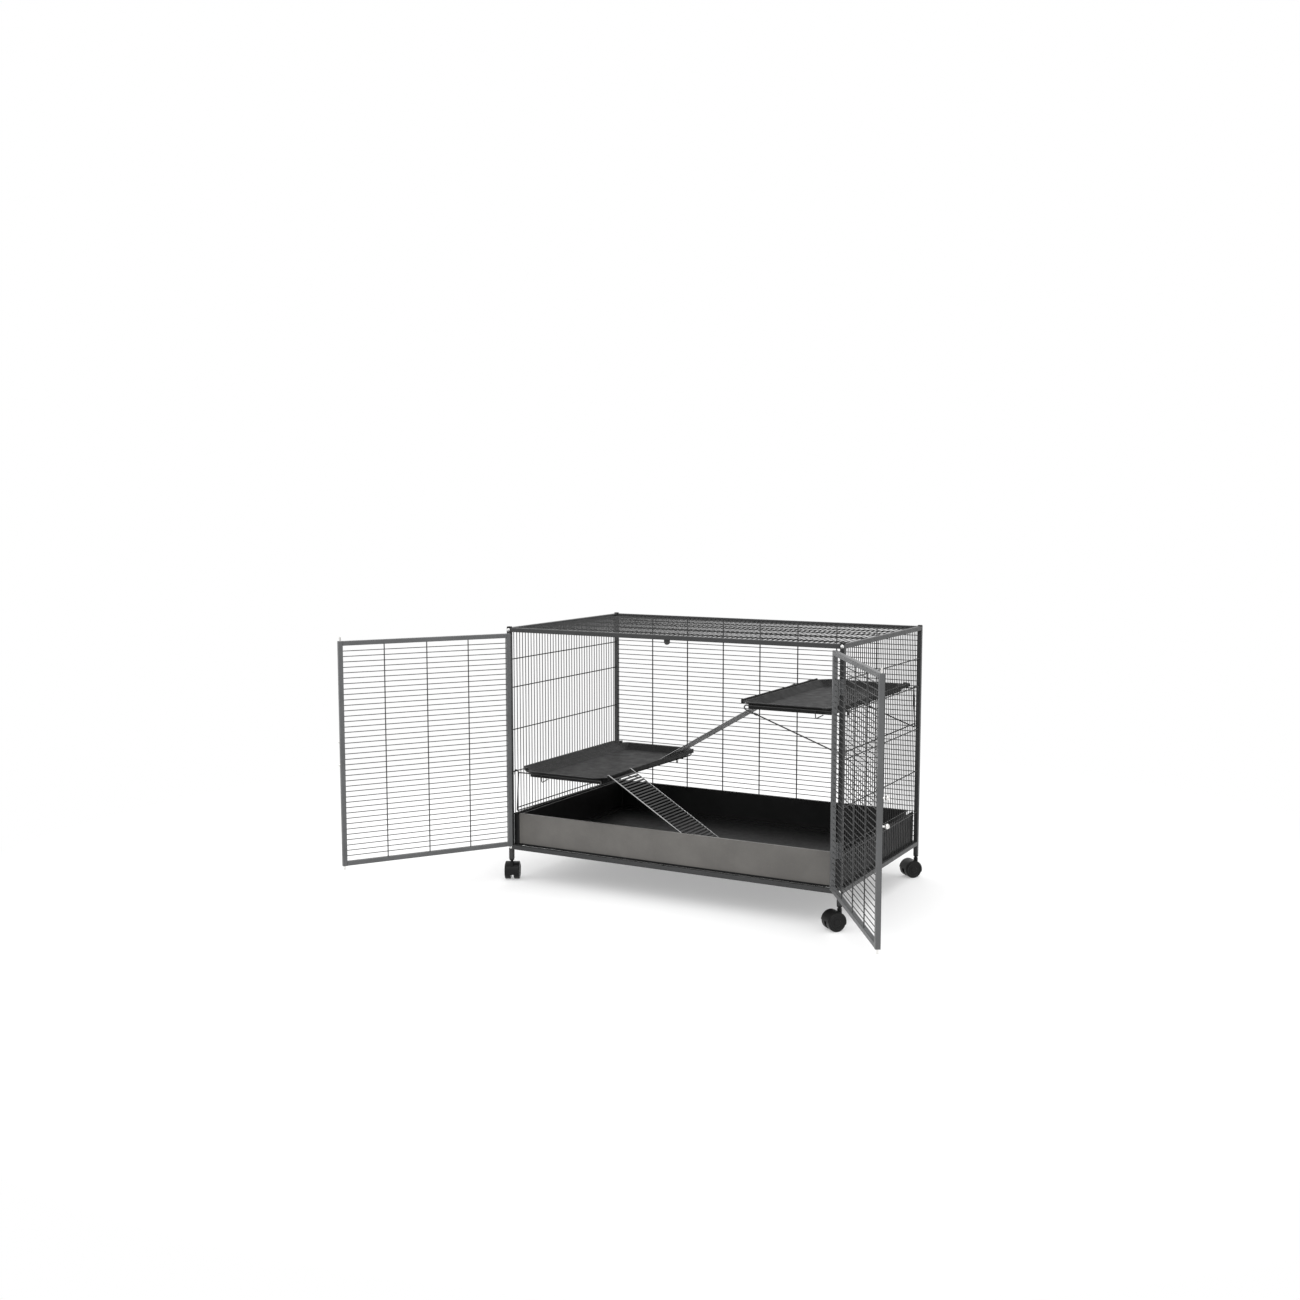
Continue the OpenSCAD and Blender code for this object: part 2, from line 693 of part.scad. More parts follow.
// Open pan with a rim, a floor that is sunk inside a raised border and a lip under its front edge
module tray_pan() {
    wall_in = tray_rim + tray_t;
    lip_x = tray_x - ledge_reach - 1;
    lip_y = -inner_y - lip_reach;
    lip_z = floor_rail_z + slide_clear;
    lip_h = tray_lift + panel_rise - 2 * slide_clear;
    lip_t = min(lip_h, door_gap - 2 * slide_clear); // passes under the closed doors
    wall_y = tray_front_y + tray_rim + tray_t;
    color("black") difference() {
        union() {
            tray_block(tray_rim, tray_low_z, tray_high_z);
            tray_block(0, tray_high_z - tray_rim_h, tray_high_z);
            translate([-lip_x, lip_y, lip_z]) cube([2 * lip_x, wall_y - lip_y, lip_t]);
            translate([-lip_x, panel_y, lip_z]) cube([2 * lip_x, wall_y - panel_y, lip_h]);
        }
        tray_block(wall_in, tray_floor_z + tray_step, tray_high_z + past);
        tray_block(wall_in + tray_border, tray_floor_z, tray_high_z);
    }
}

// Sheet panel in front of the pan, folded back over the pan's rim
module tray_front() {
    color("gray") {
        translate([-tray_x, panel_y, tray_low_z + panel_rise])
            cube([2 * tray_x, panel_t, tray_h - panel_rise + panel_t]);
        translate([-tray_x, panel_y, tray_high_z]) cube([2 * tray_x, panel_t + panel_fold, panel_t]);
    }
}

// DOORS, drawn closed with the hinge axis at x = 0, y = 0 and the door towards +x

// Puts a door's part where it stands open on the side s
module hang(s) {
    if (s < 0) translate([-pivot_x, pivot_y, 0]) rotate(-left_open) children();
    else mirror([1, 0, 0]) translate([-pivot_x, pivot_y, 0]) rotate(-right_open) children();
}

// Tube stile with a plug in each end
module stile(x) {
    translate([x, door_y, door_low_z]) tube_stock(door_high_z - door_low_z);
    for (z = [door_low_z, door_high_z - guide_len]) translate([x, door_y, z + guide_len / 2])
        cube([bore + tube_wall, bore + tube_wall, guide_len], center = true);
}

module hinge_stile(s) { color("gray") hang(s) stile(hinge_stile_x); }

// Stile that holds the spring bolts: bored plugs, and slots in its face for the knobs' stems
module free_stile(s) {
    slot_w = stem_d + 2 * slot_play;
    color("gray") hang(s) difference() {
        stile(free_stile_x);
        for (z = [door_low_z - past, door_high_z - guide_len - past]) translate([free_stile_x, door_y, z])
            cylinder(h = guide_len + 2 * past, r = latch_r + latch_clear);
        for (k = [-1, 1]) {
            outer = door_mid_z + k * (knob_spacing / 2);
            inner = outer - k * latch_throw;
            for (z = [outer, inner]) translate([free_stile_x, hinge_out - past, z]) rotate([-90, 0, 0])
                cylinder(h = tube_wall + 2 * past, d = slot_w);
            translate([free_stile_x - slot_w / 2, hinge_out - past, min(outer, inner)])
                cube([slot_w, tube_wall + 2 * past, latch_throw]);
        }
    }
}

module door_rail(s, z) { color("gray") hang(s) tube_x(bay_x0, bay_x1, door_y, z); }

module door_wires(s) {
    color("gray") hang(s) for (z = places(door_low_z + tube, door_high_z - tube, wire_pitch))
        rod_x(bay_x0, bay_x1, door_y, z, wire_d);
}

module door_uprights(s) {
    bay = (free_stile_x - hinge_stile_x) / door_bays;
    color("gray") hang(s) for (i = [1 : door_bays - 1])
        rod_z(door_low_z + tube, door_high_z - tube, hinge_stile_x + i * bay, door_cross_y, cross_d);
}

module door_hinge_leaves(s) {
    color("darkgray") hang(s) for (z = hinge_zs) translate([0, 0, z]) door_leaf();
}

// Spring bolt with its ball knob, k = 1 for the upper and -1 for the lower
module spring_bolt(s, k) {
    color("silver") hang(s) translate([free_stile_x, door_y, door_mid_z]) mirror([0, 0, k > 0 ? 0 : 1]) {
        translate([0, 0, knob_spacing / 2 - stem_d]) cylinder(h = latch_len + stem_d, d = latch_d);
        translate([0, 0, knob_spacing / 2]) rotate([90, 0, 0])
            cylinder(h = tube / 2 + knob_stand, d = stem_d);
        translate([0, -tube / 2 - knob_stand, knob_spacing / 2]) sphere(d = knob_d);
    }
}

module left_door_hinge_stile() { hinge_stile(-1); }
module left_door_free_stile() { free_stile(-1); }
module left_door_top_rail() { door_rail(-1, door_high_z - tube / 2); }
module left_door_bottom_rail() { door_rail(-1, door_low_z + tube / 2); }
module left_door_wires() { door_wires(-1); }
module left_door_uprights() { door_uprights(-1); }
module left_door_hinge_leaves() { door_hinge_leaves(-1); }
module left_door_upper_bolt() { spring_bolt(-1, 1); }
module left_door_lower_bolt() { spring_bolt(-1, -1); }
module right_door_hinge_stile() { hinge_stile(1); }
module right_door_free_stile() { free_stile(1); }
module right_door_top_rail() { door_rail(1, door_high_z - tube / 2); }
module right_door_bottom_rail() { door_rail(1, door_low_z + tube / 2); }
module right_door_wires() { door_wires(1); }
module right_door_uprights() { door_uprights(1); }
module right_door_hinge_leaves() { door_hinge_leaves(1); }
module right_door_upper_bolt() { spring_bolt(1, 1); }
module right_door_lower_bolt() { spring_bolt(1, -1); }

// SHELVES, drawn on the left and mirrored for the right

// Plate of the shelf's outline, set in by e, between two heights
module shelf_plate(e, z0, z1) { translate([0, 0, z0]) linear_extrude(z1 - z0) polygon(shelf_outline(e)); }

// Block with rounded corners inside the shelf, between two places along X and two heights
module shelf_block(x0, x1, y, z0, z1) {
    translate([(x0 + x1) / 2, 0, z0]) linear_extrude(z1 - z0)
        polygon(rounded_box((x1 - x0) / 2, y, corner_r));
}

// Hanging loop of thin wire in the XZ plane, its two ends at height z
module hanging_loop(z) {
    half = loop_drop / 3;
    upright(0) bent_wire([[-half, z, 0], [0, z - loop_drop, loop_d], [half, z, 0]], loop_d);
}

// Shelf with its outer rim's top at rim_z and a loop under its inner edge at each of the places loop_ys
module shelf(rim_z, loop_ys) {
    sliver = 0.1;
    lip_t = 4;
    floor_z = rim_z - floor_drop;
    under_z = rim_z - rim_depth;
    lip_z = under_z - lip_drop;
    lip_top_z = rim_z - bead_drop - bead_r / 2;
    in_rim_z = under_z + sliver;
    floor_y = body_y - end_border_w;
    tab_x = shelf_x0 + shelf_corner * 2 / 3;
    difference() {
        union() {
            hull() {
                shelf_plate(0, rim_z - edge_t, rim_z);
                shelf_plate(taper_w, under_z, rim_z - edge_t);
            }
            shelf_block(shelf_x0 + body_out, shelf_x1 - body_in, body_y, floor_z - shelf_t, in_rim_z);
            translate([shelf_x1 - lip_t, -bead_y, lip_z]) cube([lip_t, 2 * bead_y, lip_top_z - lip_z]);
        }
        hull() {
            shelf_plate(rim_w, rim_z, rim_z + sliver);
            shelf_block(shelf_x0 + border_w, shelf_x1 - in_border_w, floor_y, floor_z, floor_z + sliver);
        }
        translate([tab_x, -shelf_y - past, rim_z - rim_step])
            cube([shelf_w, 2 * (shelf_y + past), rim_step + past]);
        translate([shelf_x1 - groove_w, -bead_y, rim_z - bead_drop])
            cube([groove_w + past, 2 * bead_y, bead_drop + past]);
    }
    rod_y(-bead_y, bead_y, bead_x, rim_z - bead_drop, 2 * bead_r);
    for (y = loop_ys) translate([shelf_x1 - lip_t / 2, y, 0]) rotate(90) hanging_loop(lip_z + lip_t / 2);
}

module left_shelf() { color("black") shelf(left_rim_z, [lower_ramp_y, upper_ramp_y]); }
module right_shelf() { color("black") mirror([1, 0, 0]) shelf(right_rim_z, [upper_ramp_y]); }

// BRACKETS, drawn on the left for the side wire at height wire_z

// One side bracket in its plane: hook, arm, inner curl, brace and leg, with the crimped sleeve and a loop
// that points away from the cage's side, or with way = -1 towards it
module side_bracket(wire_z, way) {
    arm_z = wire_z + arm_rise;
    top_z = wire_z + cross_d / 2 + bracket_d / 2;
    meet = [shelf_x1 + curl_past, arm_z, curl_r];
    foot = [leg_x, wire_z - bracket_h + foot_rise, bracket_bend];
    knee_x = shelf_x0 - 2;
    loop = shelf_x0 + loop_x;
    bent_wire([
        [hook_x, wire_z - hook_drop, 0], [hook_x, top_z, bracket_bend], [leg_x, top_z, bracket_bend],
        [knee_x, arm_z, bracket_bend], meet, foot, [knee_x - 1, arm_z, 0]
    ], bracket_d);
    translate([meet[0], meet[1], 0]) rotate(atan2(foot[1] - meet[1], foot[0] - meet[0]))
        translate([sleeve_at, 0, 0]) rotate([0, 90, 0]) cylinder(h = sleeve_len, d = sleeve_d);
    bent_wire([
        [loop, arm_z, 0], [loop + way * loop_drop / 12, arm_z - loop_drop, loop_d],
        [loop + way * loop_drop, arm_z - loop_drop / 2, 0]
    ], loop_d);
}

// Two side brackets with the bar that joins their legs
module brackets(wire_z, way) {
    for (y = [-bracket_y, bracket_y]) upright(y) side_bracket(wire_z, way);
    rod_y(-bracket_y, bracket_y, bar_x, wire_z - bracket_h + foot_rise + bar_rise, bar_d);
}

module left_brackets() { color("dimgray") brackets(left_shelf_z, 1); }
module right_brackets() { color("dimgray") mirror([1, 0, 0]) brackets(right_shelf_z, -1); }

// RAMPS

// Ramp hooked over a bead at pivot = [x, z] with its foot at foot = [x, z] to its right
module ramp(pivot, foot) {
    run = foot - pivot;
    length = sqrt(run * run - hook_r * hook_r);
    slope = atan2(-run[1], run[0]) + asin(hook_r / norm(run));
    slats = floor((length - 2 * slat_pitch) / slat_pitch);
    translate([pivot[0], 0, pivot[1]]) rotate([0, slope, 0]) {
        for (y = [-ramp_w / 2, ramp_w / 2]) {
            rod_x(0, length, y, hook_r, ramp_wire_d);
            upright(y) rotate(90) rotate_extrude(angle = hook_past + slope) translate([hook_r, 0])
                circle(d = ramp_wire_d);
        }
        for (i = [0 : slats]) translate([length - slat_pitch * (i + 0.5), 0, hook_r])
            cube([slat_w, ramp_w, slat_t], center = true);
    }
}

module lower_ramp() {
    color("dimgray") translate([0, lower_ramp_y, 0]) ramp(left_bead, lower_foot);
}

module upper_ramp() {
    color("dimgray") translate([0, upper_ramp_y, 0]) mirror([1, 0, 0])
        ramp(right_bead, [-upper_foot[0], upper_foot[1]]);
}

// CASTERS, drawn with the swivel axis at x = 0, y = 0 and the axle behind it towards +x

// Puts a caster's part under the post towards sx, sy, trailing in the direction given
module under_post(sx, sy, direction) {
    translate([sx * post_x, sy * post_y, 0]) rotate(direction) children();
}

// Round ring or arc about the axle, between two radii
module about_axle(from, to) {
    translate([trail, 0, wheel_r]) rotate([90, 0, 0]) rotate(from)
        rotate_extrude(angle = to - from) children();
}

module caster_hood() {
    cover_from = 5;
    cover_to = 198;
    hub_r = axle_d / 2 + 5;
    boss_h = 14;
    collar_gap = 0.4;
    difference() {
        union() {
            about_axle(cover_from, cover_to) translate([cover_r, -wheel_out + tread_edge])
                square([cover_t, 2 * (wheel_out - tread_edge)]);
            about_axle(cover_from, cover_to) translate([0, -web_t / 2])
                square([cover_r + cover_t / 2, web_t]);
            translate([trail, 0, wheel_r]) rotate([90, 0, 0]) cylinder(h = web_t, r = hub_r, center = true);
            translate([0, 0, boss_top_z - boss_h]) cylinder(h = boss_h, d = boss_d);
        }
        translate([trail, 0, wheel_r]) rotate([90, 0, 0])
            cylinder(h = web_t + 2 * past, r = axle_d / 2 + turn_clear, center = true);
        for (s = [-1, 1])
            translate([trail, s * (wheel_in - wheel_gap / 2), wheel_r]) rotate([-90 * s, 0, 0])
                cylinder(h = wheel_w + wheel_gap, r = cover_r);
    }
    translate([0, 0, boss_top_z - past])
        cylinder(h = post_z - boss_top_z + stem_reach + past, d = caster_stem_d);
    translate([0, 0, post_z - collar_gap - collar_h]) cylinder(h = collar_h, d = collar_d);
}

// Both wheels and their axle, turned about the axle
module caster_wheels() {
    dish = 1.5;
    half = [
        [wheel_r - tread_edge, wheel_in], [wheel_r, wheel_in + tread_edge],
        [wheel_r, wheel_out - tread_edge], [wheel_r - tread_edge, wheel_out],
        [wheel_r * 0.78, wheel_out], [wheel_r * 0.72, wheel_out - dish],
        [wheel_r * 0.4, wheel_out - dish], [wheel_r * 0.36, wheel_out], [0, wheel_out]
    ];
    mirrored = [for (i = [len(half) - 1 : -1 : 0]) [half[i][0], -half[i][1]]];
    translate([trail, 0, wheel_r]) rotate([90, 0, 0]) rotate_extrude()
        polygon(concat(mirrored, [[axle_d / 2, -wheel_in], [axle_d / 2, wheel_in]], half));
}

module caster_front_left_hood() { color("black") under_post(-1, -1, front_left_trail) caster_hood(); }
module caster_front_left_wheels() { color("black") under_post(-1, -1, front_left_trail) caster_wheels(); }
module caster_front_right_hood() { color("black") under_post(1, -1, front_right_trail) caster_hood(); }
module caster_front_right_wheels() { color("black") under_post(1, -1, front_right_trail) caster_wheels(); }
module caster_back_left_hood() { color("black") under_post(-1, 1, back_left_trail) caster_hood(); }
module caster_back_left_wheels() { color("black") under_post(-1, 1, back_left_trail) caster_wheels(); }
module caster_back_right_hood() { color("black") under_post(1, 1, back_right_trail) caster_hood(); }
module caster_back_right_wheels() { color("black") under_post(1, 1, back_right_trail) caster_wheels(); }

post_front_left();
post_front_right();
post_back_left();
post_back_right();
front_top_rail();
front_bottom_rail();
back_top_rail();
back_bottom_rail();
left_top_rail();
left_bottom_rail();
right_top_rail();
right_bottom_rail();
post_caps();
frame_bolts();
door_stop();
frame_hinge_leaves();
left_grille_wires();
left_grille_cross_wires();
right_grille_wires();
right_grille_cross_wires();
back_grille_wires();
back_grille_cross_wires();
roof_grille_wires();
roof_grille_cross_wires();
left_tray_guide();
right_tray_guide();
tray_pan();
tray_front();
left_door_hinge_stile();
left_door_free_stile();
left_door_top_rail();
left_door_bottom_rail();
left_door_wires();
left_door_uprights();
left_door_hinge_leaves();
left_door_upper_bolt();
left_door_lower_bolt();
right_door_hinge_stile();
right_door_free_stile();
right_door_top_rail();
right_door_bottom_rail();
right_door_wires();
right_door_uprights();
right_door_hinge_leaves();
right_door_upper_bolt();
right_door_lower_bolt();
left_shelf();
right_shelf();
left_brackets();
right_brackets();
lower_ramp();
upper_ramp();
caster_front_left_hood();
caster_front_left_wheels();
caster_front_right_hood();
caster_front_right_wheels();
caster_back_left_hood();
caster_back_left_wheels();
caster_back_right_hood();
caster_back_right_wheels();
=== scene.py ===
"""Ferret cage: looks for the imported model, in metres, in the model's own frame."""

import math

import bpy
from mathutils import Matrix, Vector


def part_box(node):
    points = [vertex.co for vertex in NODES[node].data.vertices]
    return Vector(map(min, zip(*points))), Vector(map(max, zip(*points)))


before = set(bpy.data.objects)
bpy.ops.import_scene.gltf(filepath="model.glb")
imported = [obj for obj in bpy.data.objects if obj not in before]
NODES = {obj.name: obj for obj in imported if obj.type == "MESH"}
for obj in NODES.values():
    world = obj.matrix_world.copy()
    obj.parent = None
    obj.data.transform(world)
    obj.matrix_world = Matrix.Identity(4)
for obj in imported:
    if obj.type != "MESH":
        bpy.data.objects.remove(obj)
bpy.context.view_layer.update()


# ---------------------------------------------------------------- materials

class Shader:
    """A material's node tree, with one method per kind of node that the finishes use."""

    def __init__(self, name):
        self.material = bpy.data.materials.new(name)
        self.material.use_nodes = True
        self.tree = self.material.node_tree
        self.bsdf = self.tree.nodes["Principled BSDF"]
        self.place = self.node("ShaderNodeTexCoord").outputs["Object"]

    def node(self, kind, **settings):
        made = self.tree.nodes.new(kind)
        for key, value in settings.items():
            setattr(made, key, value)
        return made

    def feed(self, socket, value):
        """Links an output, or sets a plain value."""
        if isinstance(value, bpy.types.NodeSocket):
            self.tree.links.new(value, socket)
        else:
            socket.default_value = value

    def noise(self, scale, detail=3.0, rough=0.5):
        made = self.node("ShaderNodeTexNoise")
        self.feed(made.inputs["Vector"], self.place)
        made.inputs["Scale"].default_value = scale
        made.inputs["Detail"].default_value = detail
        made.inputs["Roughness"].default_value = rough
        return made.outputs["Fac"]

    def cells(self, scale):
        made = self.node("ShaderNodeTexVoronoi", feature="SMOOTH_F1")
        self.feed(made.inputs["Vector"], self.place)
        made.inputs["Scale"].default_value = scale
        return made.outputs["Distance"]

    def math(self, operation, a, b=0.0):
        made = self.node("ShaderNodeMath", operation=operation)
        self.feed(made.inputs[0], a)
        self.feed(made.inputs[1], b)
        return made.outputs[0]

    def remap(self, value, low, high, to_low=0.0, to_high=1.0):
        made = self.node("ShaderNodeMapRange", clamp=True)
        for socket, number in zip(made.inputs, (value, low, high, to_low, to_high)):
            self.feed(socket, number)
        return made.outputs[0]

    def axis(self, letter):
        made = self.node("ShaderNodeSeparateXYZ")
        self.feed(made.inputs[0], self.place)
        return made.outputs[letter]

    def mix(self, factor, a, b):
        made = self.node("ShaderNodeMix", data_type="RGBA")
        self.feed(made.inputs[0], factor)
        self.feed(made.inputs[6], a if isinstance(a, bpy.types.NodeSocket) else (*a, 1))
        self.feed(made.inputs[7], b if isinstance(b, bpy.types.NodeSocket) else (*b, 1))
        return made.outputs[2]

    def set(self, socket, value):
        self.feed(self.bsdf.inputs[socket], value)

    def colour_so_far(self):
        return self.bsdf.inputs["Base Color"].links[0].from_socket

    def bump(self, height, distance, strength=1.0, edge=0.0005):
        """Relief of a height, over normals that round the piece's edges off."""
        made = self.node("ShaderNodeBump")
        soft = self.node("ShaderNodeBevel", samples=4)
        soft.inputs["Radius"].default_value = edge
        self.feed(made.inputs["Normal"], soft.outputs["Normal"])
        made.inputs["Distance"].default_value = distance
        made.inputs["Strength"].default_value = strength
        self.feed(made.inputs["Height"], height)
        self.feed(self.bsdf.inputs["Normal"], made.outputs["Normal"])


def shade(colour, factor):
    return tuple(min(channel * factor, 1.0) for channel in colour)


def grey(level, tint=0.0):
    """Linear colour of a grey that shows as level out of 255, tinted a little to blue."""
    linear = ((level / 255 + 0.055) / 1.055) ** 2.4
    return (linear * (1 - tint), linear, linear * (1 + tint))


FRAME_DARK = grey(44, 0.02)
DOOR_GREY = grey(84, 0.02)
PALE_GREY = grey(150)  # of dust, and of the ramps' plated wires
STEEL = (0.72, 0.72, 0.71)
BRIGHT_STEEL = (0.78, 0.77, 0.75)
WARM_GREY = (0.105, 0.1, 0.093)


def paint(name, colour, rough, hammer=0.0, dust=0.12, gloss=0.4):
    """Oven paint: faint cloudy colour, orange peel or a hammered relief, and a little dust from above."""
    s = Shader(name)
    cloud = s.noise(9.0, 4.0, 0.6)
    speck = s.noise(900.0, 2.0)
    tone = s.mix(s.remap(cloud, 0.35, 0.65), shade(colour, 0.88), shade(colour, 1.12))
    tone = s.mix(s.math("MULTIPLY", s.remap(speck, 0.62, 0.72), 0.35), tone, shade(colour, 1.9))
    up = s.node("ShaderNodeNewGeometry")
    rise = s.node("ShaderNodeSeparateXYZ")
    s.feed(rise.inputs[0], up.outputs["Normal"])
    level = s.remap(rise.outputs["Z"], 0.5, 1.0)
    patches = s.remap(s.noise(35.0, 5.0, 0.65), 0.4, 0.7)
    settled = s.math("MULTIPLY", level, patches)
    tone = s.mix(s.math("MULTIPLY", settled, dust), tone, PALE_GREY)
    s.set("Base Color", tone)
    s.set("Roughness", s.remap(s.noise(60.0, 3.0), 0.3, 0.7, rough - 0.06, rough + 0.08))
    peel = s.noise(420.0, 2.0)
    if hammer:
        dents = s.cells(330.0)
        s.bump(s.math("ADD", s.math("MULTIPLY", peel, 0.3), dents), 0.0004, hammer)
    else:
        s.bump(peel, 0.0002, 0.35)
    s.bsdf.inputs["Specular IOR Level"].default_value = gloss
    return s


def plastic(name, colour, rough, grain=700.0, relief=0.5, gloss=0.2):
    """Moulded plastic: fine spark-eroded grain if it has a relief, faint flow marks and uneven gloss."""
    s = Shader(name)
    cloud = s.noise(6.0, 3.0, 0.55)
    s.set("Base Color", s.mix(s.remap(cloud, 0.35, 0.65), shade(colour, 0.85), shade(colour, 1.18)))
    s.set("Roughness", s.remap(s.noise(45.0, 4.0), 0.3, 0.7, rough - 0.07, rough + 0.07))
    if relief:
        s.bump(s.noise(grain, 3.0, 0.6), 0.0002, relief)
    s.bsdf.inputs["Specular IOR Level"].default_value = gloss
    return s


def bright_metal(name, colour, rough):
    """Plated steel: fine brushing, small stains and uneven polish."""
    s = Shader(name)
    brushing = s.noise(900.0, 3.0, 0.6)
    stain = s.noise(70.0, 4.0, 0.6)
    s.set("Base Color", s.mix(s.remap(stain, 0.45, 0.75), colour, shade(colour, 0.72)))
    s.set("Metallic", 1.0)
    s.set("Roughness", s.remap(brushing, 0.3, 0.7, rough - 0.05, rough + 0.1))
    s.bump(brushing, 0.0001, 0.25)
    return s


def give(shader, *names):
    for name in names:
        slots = NODES[name].data.materials
        slots.clear()
        slots.append(shader.material)


def nodes_with(*words):
    return [name for name in NODES if all(word in name for word in words)]


def finish_frame():
    tubes = [n for n in NODES if n.startswith("post_") and n != "post_caps"]
    tubes += [n for n in NODES if n.endswith("_rail") and "door" not in n]
    give(paint("frame_paint", FRAME_DARK, 0.42, hammer=0.55), *tubes, "door_stop")
    give(plastic("cap_plastic", grey(20), 0.45), "post_caps")
    give(bright_metal("bolt_steel", STEEL, 0.28), "frame_bolts")
    give(paint("grille_paint", grey(24, 0.01), 0.45, dust=0.04, gloss=0.3), *nodes_with("_grille_"))


def finish_doors():
    for side in ("left", "right"):
        parts = [f"{side}_door_{k}" for k in ("hinge_stile", "free_stile", "top_rail", "bottom_rail")]
        wires = [f"{side}_door_{k}" for k in ("wires", "uprights")]
        give(paint(f"{side}_door_paint", DOOR_GREY, 0.4, hammer=0.4, dust=0.05), *parts)
        give(paint(f"{side}_door_wire_paint", grey(52, 0.01), 0.4, dust=0.05), *wires)
    give(paint("hinge_paint", DOOR_GREY, 0.38, dust=0.05), *nodes_with("hinge_leaves"))
    give(bright_metal("latch_steel", BRIGHT_STEEL, 0.2), *nodes_with("door", "_bolt"))


def finish_tray():
    give(paint("guide_paint", grey(24), 0.42, dust=0.06, gloss=0.3), *nodes_with("tray_guide"))
    give(plastic("tray_plastic", grey(22), 0.4, grain=450.0), "tray_pan")
    give(paint("tray_front_paint", WARM_GREY, 0.42, dust=0.1), "tray_front")


def finish_shelves():
    """Black shelves with a fine grain on the floor and a coarse one on the border at the cage's side."""
    border_w, border_fade = 0.047, 0.004
    ridge_in, ridge_w = 0.026, 0.0012
    for side in ("left", "right"):
        name = side + "_shelf"
        low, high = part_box(name)
        edge = max(abs(low[0]), abs(high[0]))
        s = plastic(name + "_plastic", grey(14), 0.5, relief=0)
        out = s.math("ABSOLUTE", s.axis("X"))
        border = s.remap(out, edge - border_w - border_fade, edge - border_w)
        pebbles = s.cells(420.0)
        pits = s.math("MULTIPLY", s.remap(pebbles, 0.25, 0.6), 0.5)
        s.set("Base Color", s.mix(s.math("MULTIPLY", border, pits), s.colour_so_far(), grey(66)))
        from_ridge = s.math("ABSOLUTE", s.math("SUBTRACT", out, edge - ridge_in))
        ridge = s.remap(from_ridge, 0.0, ridge_w, 1.2, 0.0)
        coarse = s.math("ADD", s.math("MULTIPLY", pebbles, 0.6), ridge)
        fine = s.math("MULTIPLY", s.noise(450.0), 0.15)
        height = s.math("ADD", s.math("MULTIPLY", border, coarse), fine)
        s.bump(height, 0.0012, 0.7, edge=0.0015)
        give(s, name)
    give(paint("bracket_paint", grey(46), 0.42), *nodes_with("brackets"))


def finish_ramps():
    """Dark slats between bright side wires, told apart by their distance from the ramp's middle."""
    wire_d = 0.0031
    for name in ("lower_ramp", "upper_ramp"):
        low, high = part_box(name)
        middle = (low[1] + high[1]) / 2
        half = (high[1] - low[1]) / 2
        s = Shader(name + "_metal")
        off = s.math("ABSOLUTE", s.math("SUBTRACT", s.axis("Y"), middle))
        wire = s.math("GREATER_THAN", off, half - wire_d)
        cloud = s.noise(30.0, 4.0, 0.6)
        slat = s.mix(s.remap(cloud, 0.35, 0.65), grey(12), grey(24))
        s.set("Base Color", s.mix(wire, slat, PALE_GREY))
        s.set("Metallic", wire)
        s.set("Roughness", s.remap(s.noise(300.0, 3.0), 0.3, 0.7, 0.3, 0.46))
        s.bump(s.noise(500.0, 3.0), 0.0002, 0.3)
        give(s, name)


def finish_casters():
    """Black hoods and wheels, with steel above the lower end of the posts, where the stems are."""
    post_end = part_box("post_front_left")[0][2]
    for name in nodes_with("caster", "hood"):
        s = plastic(name + "_plastic", grey(18), 0.4)
        steel = s.math("GREATER_THAN", s.axis("Z"), post_end)
        base = s.colour_so_far()
        s.set("Base Color", s.mix(steel, base, STEEL))
        s.set("Metallic", steel)
        give(s, name)
    give(plastic("wheel_plastic", grey(20), 0.34), *nodes_with("caster", "wheels"))


# ---------------------------------------------------------------- camera, light and floor

def set_camera():
    camera = bpy.data.cameras.new("camera")
    camera.sensor_width = 36.0
    camera.lens = 39.64
    camera.clip_end = 60.0
    holder = bpy.data.objects.new("camera", camera)
    yaw, pitch, roll = 0.50465, 0.10147, 0.00045
    holder.location = (1.7693, -3.5839, 1.0592)
    holder.rotation_euler = (math.pi / 2 - pitch, roll, yaw)
    bpy.context.scene.collection.objects.link(holder)
    bpy.context.scene.camera = holder


def area_light(name, place, target, size, power):
    light = bpy.data.lights.new(name, "AREA")
    light.shape = "DISK"
    light.size = size
    light.energy = power
    holder = bpy.data.objects.new(name, light)
    holder.location = place
    aim = Vector(target) - Vector(place)
    holder.rotation_euler = aim.to_track_quat("-Z", "Y").to_euler()
    bpy.context.scene.collection.objects.link(holder)


def seen_directly(tree):
    """1 for rays that show the background: to the camera, in a reflection or through glass."""
    path = tree.nodes.new("ShaderNodeLightPath")
    value = path.outputs["Is Camera Ray"]
    for name in ("Is Glossy Ray", "Is Transmission Ray"):
        larger = tree.nodes.new("ShaderNodeMath")
        larger.operation = "MAXIMUM"
        tree.links.new(value, larger.inputs[0])
        tree.links.new(path.outputs[name], larger.inputs[1])
        value = larger.outputs[0]
    return value


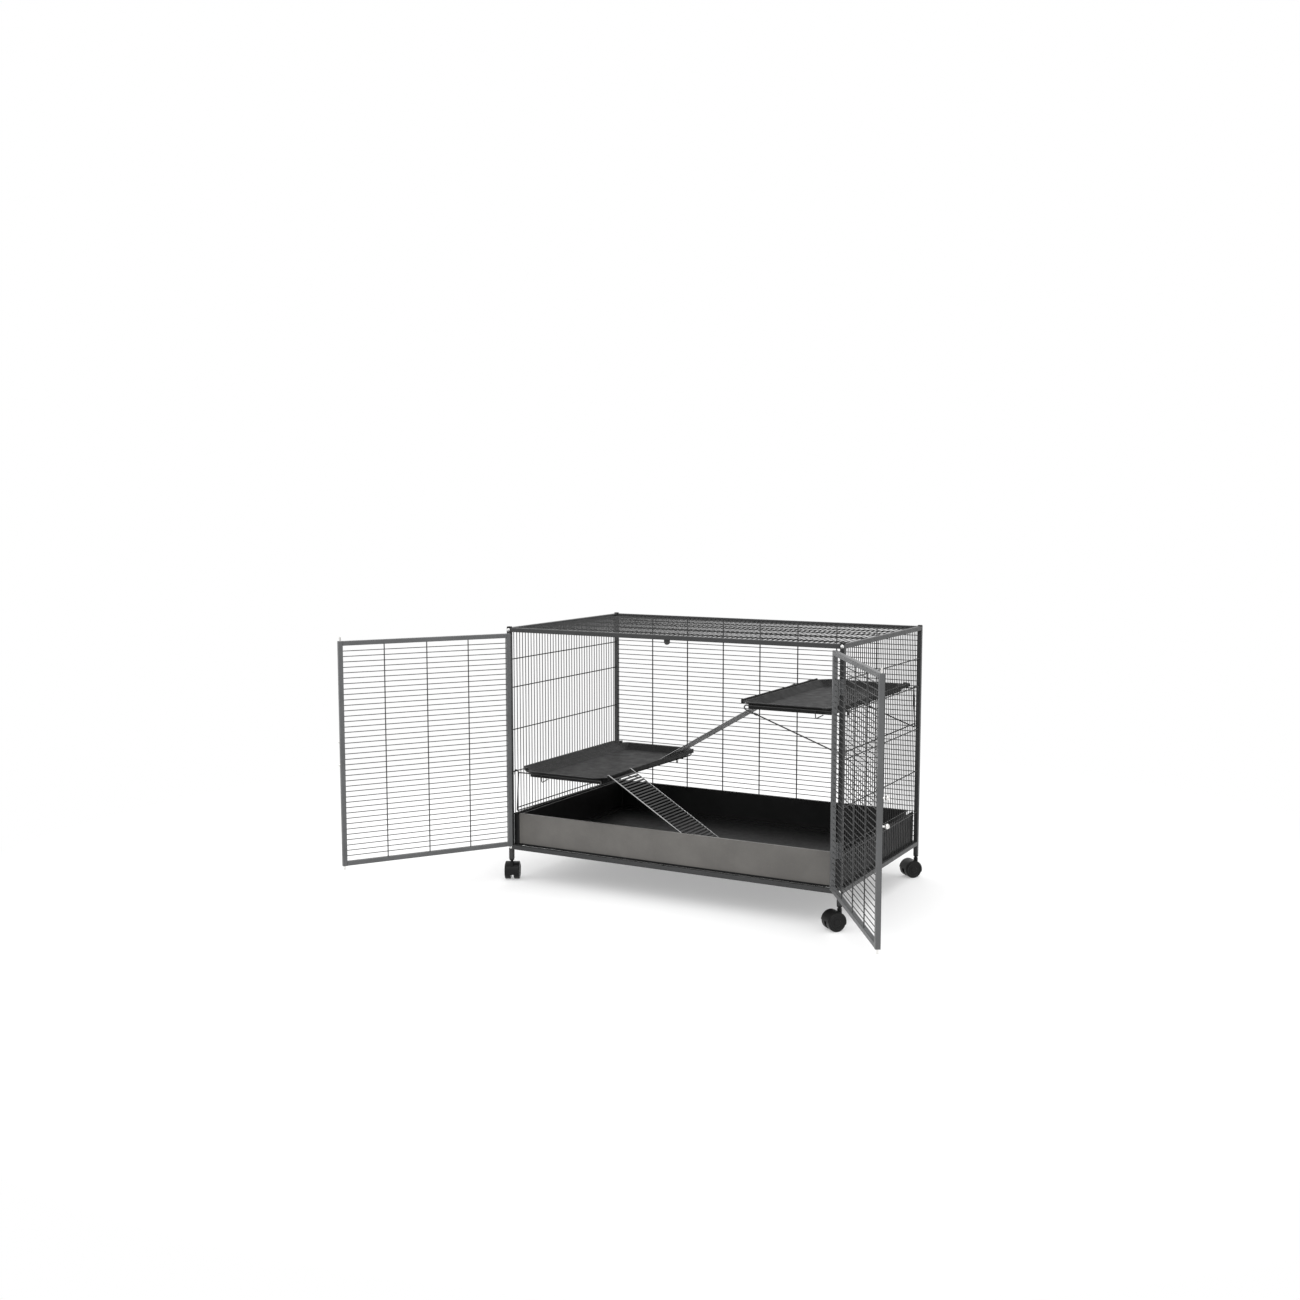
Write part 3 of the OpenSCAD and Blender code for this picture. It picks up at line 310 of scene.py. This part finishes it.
def set_world(ambient):
    world = bpy.data.worlds.new("studio")
    bpy.context.scene.world = world
    world.use_nodes = True
    tree = world.node_tree
    back = tree.nodes["Background"]
    back.inputs["Color"].default_value = (1, 1, 1, 1)
    strength = tree.nodes.new("ShaderNodeMapRange")
    tree.links.new(seen_directly(tree), strength.inputs["Value"])
    strength.inputs["To Min"].default_value = ambient
    strength.inputs["To Max"].default_value = 1.0
    tree.links.new(strength.outputs[0], back.inputs["Strength"])


# Metres from the cage's middle at which the floor begins and ends turning into the backdrop,
# and how much of the backdrop's white it has beside the cage
PAPER_END = 1.0
BACKDROP_START = 2.2
LEAST_GLOW = 0.35


def lay_floor():
    """Pale floor that turns into the white backdrop away from the cage."""
    bpy.ops.mesh.primitive_plane_add(size=60)
    floor = bpy.context.object
    floor.name = "floor"
    s = Shader("floor_paper")
    s.set("Base Color", (0.93, 0.93, 0.93, 1))
    s.set("Roughness", 0.9)
    reach = s.node("ShaderNodeVectorMath", operation="LENGTH")
    s.feed(reach.inputs[0], s.place)
    far = s.remap(reach.outputs["Value"], PAPER_END, BACKDROP_START, LEAST_GLOW, 1.0)
    lit = s.node("ShaderNodeEmission")
    blend = s.node("ShaderNodeMixShader")
    s.feed(blend.inputs[0], s.math("MULTIPLY", far, seen_directly(s.tree)))
    s.feed(blend.inputs[1], s.bsdf.outputs[0])
    s.feed(blend.inputs[2], lit.outputs[0])
    s.feed(s.tree.nodes["Material Output"].inputs["Surface"], blend.outputs[0])
    floor.data.materials.append(s.material)


def light_studio():
    set_world(ambient=0.98)
    area_light("key", place=(1.5, -2.8, 3.6), target=(0, -0.2, 0.3), size=3.4, power=62)
    area_light("fill", place=(-3.2, -2.4, 2.2), target=(0, 0, 0.4), size=2.8, power=30)
    area_light("top", place=(0.2, 0.4, 3.4), target=(0, 0, 0.2), size=3.0, power=40)
    lay_floor()


finish_frame()
finish_doors()
finish_tray()
finish_shelves()
finish_ramps()
finish_casters()
set_camera()
light_studio()

bpy.context.scene.view_settings.view_transform = "Standard"
